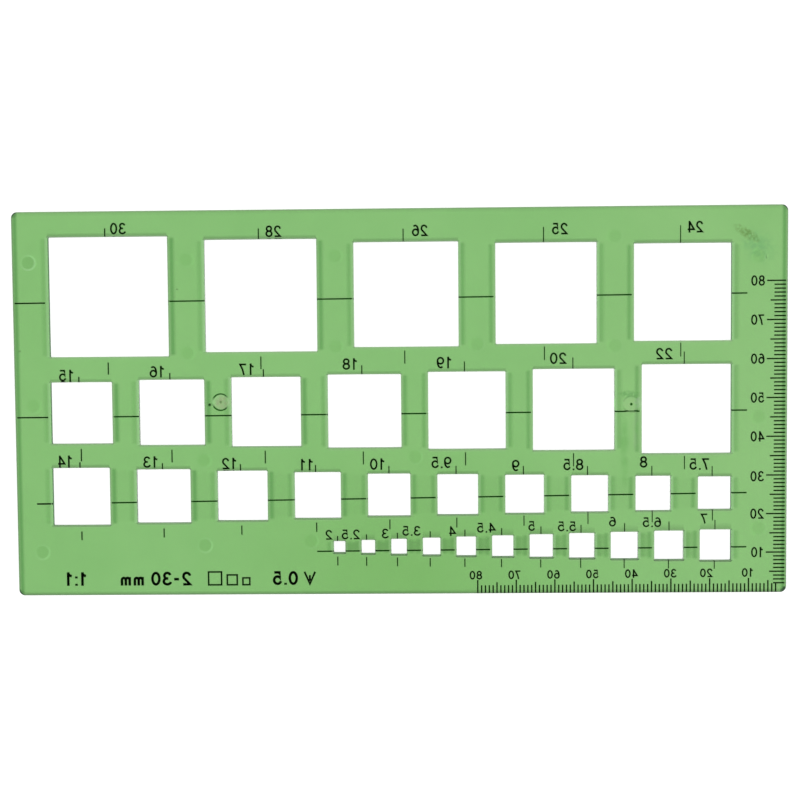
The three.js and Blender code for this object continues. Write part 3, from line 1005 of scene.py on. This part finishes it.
# Signs for use: a row of bold signs in the lower left corner, in the same ink and mirrored. A pen point stands before
# the width of the pen that the openings allow for, and three squares before the sizes that they draw.
SIGNS_RIGHT = -22.0
SIGNS_UP = 2.3
SIGN_HEIGHT = 3.7
SIGN_WIDTH = 2.5
SIGN_STROKE = 0.68
PEN_POINT = {"reach": 1.4, "tip": 0.3, "top": 3.5, "slit": (1.1, 2.6), "stroke": 0.5, "room": 4.8}
SQUARE_SIGNS = {"small_square": 1.8, "middle_square": 2.6, "large_square": 3.4}
SQUARE_STROKE = 0.42
SQUARE_UP = 0.15
SQUARE_GAP = 1.5
ROOM_AFTER = {"pen_width": 6.0, "squares": 3.0, "size_range": 9.0}
sign_foot = plate_low.y + SIGNS_UP


def number_sign(name, text, right):
    """A sign that starts at its right-hand end. Gives where it ends."""
    ink_piece(name, number_strokes(text, right, sign_foot, SIGN_HEIGHT, SIGN_WIDTH, SIGN_STROKE), SIGN_STROKE)
    return right - number_places(text, SIGN_WIDTH)[1]


middle = SIGNS_RIGHT - PEN_POINT["tip"] - PEN_POINT["reach"]
tip, top = sign_foot + PEN_POINT["tip"], sign_foot + PEN_POINT["top"]
ink_piece("pen_point", [
    [(middle + PEN_POINT["reach"], top), (middle, tip), (middle - PEN_POINT["reach"], top)],
    [(middle, sign_foot + end) for end in PEN_POINT["slit"]],
], PEN_POINT["stroke"])
right = number_sign("pen_width", "0.5", SIGNS_RIGHT - PEN_POINT["room"]) - ROOM_AFTER["pen_width"]
for name, side in SQUARE_SIGNS.items():
    left, foot = right - side, sign_foot + SQUARE_UP
    corners = [(right, foot), (left, foot), (left, foot + side), (right, foot + side), (right, foot)]
    ink_piece(name, [corners], SQUARE_STROKE)
    right = left - SQUARE_GAP
right = number_sign("size_range", "2-30 mm", right - ROOM_AFTER["squares"]) - ROOM_AFTER["size_range"]
number_sign("true_size", "1:1", right)

# Floor and light: the template lies on a plain white table between two soft boxes, to its left and its right.
# The table shows white, and still takes the shade of the plate.
TABLE_SIZE = 30
TABLE_BELOW = 0.00002
TABLE_GREY = 0.4
NEAR_GLOW, FAR_GLOW = 0.88, 1.0
NEAR, FAR = 0.6, 2.5
bpy.ops.mesh.primitive_plane_add(size=TABLE_SIZE, location=(0, 0, -TABLE_BELOW))
floor = bpy.context.object
floor.name = "table_top"
white, tree = blank_material("white_table")
output = add_node(tree, "ShaderNodeOutputMaterial")
matt = add_node(tree, "ShaderNodeBsdfDiffuse")
matt.inputs["Color"].default_value = (TABLE_GREY, TABLE_GREY, TABLE_GREY, 1)
glow = add_node(tree, "ShaderNodeEmission")
rays = add_node(tree, "ShaderNodeLightPath")
seen = combine(tree, "MAXIMUM", rays.outputs["Is Camera Ray"], rays.outputs["Is Glossy Ray"])
seen = combine(tree, "MAXIMUM", seen, rays.outputs["Is Transmission Ray"])
away = add_node(tree, "ShaderNodeVectorMath", operation="LENGTH")
tree.links.new(add_node(tree, "ShaderNodeTexCoord").outputs["Object"], away.inputs[0])
shine = spread(tree, away.outputs["Value"], NEAR, FAR, NEAR_GLOW, FAR_GLOW)
tree.links.new(combine(tree, "MULTIPLY", seen, shine), glow.inputs["Strength"])
both = add_node(tree, "ShaderNodeAddShader")
tree.links.new(matt.outputs["BSDF"], both.inputs[0])
tree.links.new(glow.outputs["Emission"], both.inputs[1])
tree.links.new(both.outputs["Shader"], output.inputs["Surface"])
floor.data.materials.append(white)
floor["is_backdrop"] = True

# The room is white to the sides and dark overhead, so that the plate mirrors little of it. To the camera it is white.
HORIZON, OVERHEAD = (1.0, 1.0, 1.0), (0.03, 0.03, 0.03)
DARKENS_FROM, DARK_AT = 0.1, 0.6
world = bpy.data.worlds.new("studio")
bpy.context.scene.world = world
world.use_nodes = True
tree = world.node_tree
tree.nodes.clear()
output = add_node(tree, "ShaderNodeOutputWorld")
room = add_node(tree, "ShaderNodeBackground")
direction = add_node(tree, "ShaderNodeTexCoord").outputs["Generated"]
parts = add_node(tree, "ShaderNodeSeparateXYZ")
tree.links.new(direction, parts.inputs["Vector"])
level = spread(tree, parts.outputs["Z"], DARKENS_FROM, DARK_AT, 0.0, 1.0)
level = combine(tree, "SUBTRACT", level, add_node(tree, "ShaderNodeLightPath").outputs["Is Camera Ray"])
tree.links.new(mix_colours(tree, level, HORIZON, OVERHEAD), room.inputs["Color"])
tree.links.new(room.outputs["Background"], output.inputs["Surface"])

# The soft boxes light the plate from both sides, and don't show in its gloss
BOX_SIZE = 1.8
BOX_WATTS = 24
BOX_ASIDE = 1.5
BOX_HEIGHT = 1.2
for name, side in (("soft_box_left", -1), ("soft_box_right", 1)):
    lamp = bpy.data.lights.new(name, "AREA")
    lamp.shape = "SQUARE"
    lamp.size = BOX_SIZE
    lamp.energy = BOX_WATTS
    box = bpy.data.objects.new(name, lamp)
    box.location = (BOX_ASIDE * side, 0, BOX_HEIGHT)
    box.rotation_euler = (-box.location).to_track_quat("-Z", "Y").to_euler()
    box.visible_glossy = False
    bpy.context.scene.collection.objects.link(box)

# Camera: held about 350 mm above the plate, a little towards its upper right, and tilted by some three degrees. From
# so near, it sees the walls inside the outer openings.
photo_camera = bpy.data.cameras.new("camera")
photo_camera.lens = 61.44
photo_camera.sensor_width = 36
photo_camera.clip_start = 0.01
photo_camera.shift_x = -0.000625
photo_camera.shift_y = 0.000625
camera = bpy.data.objects.new("camera", photo_camera)
camera.location = (0.00761, 0.018356, 0.354303)
camera.rotation_mode = "AXIS_ANGLE"
camera.rotation_axis_angle = (0.055133, -0.050688, 0.020177, -0.007935)
bpy.context.scene.collection.objects.link(camera)
bpy.context.scene.camera = camera
bpy.context.scene.view_settings.view_transform = "Standard"

low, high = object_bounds()
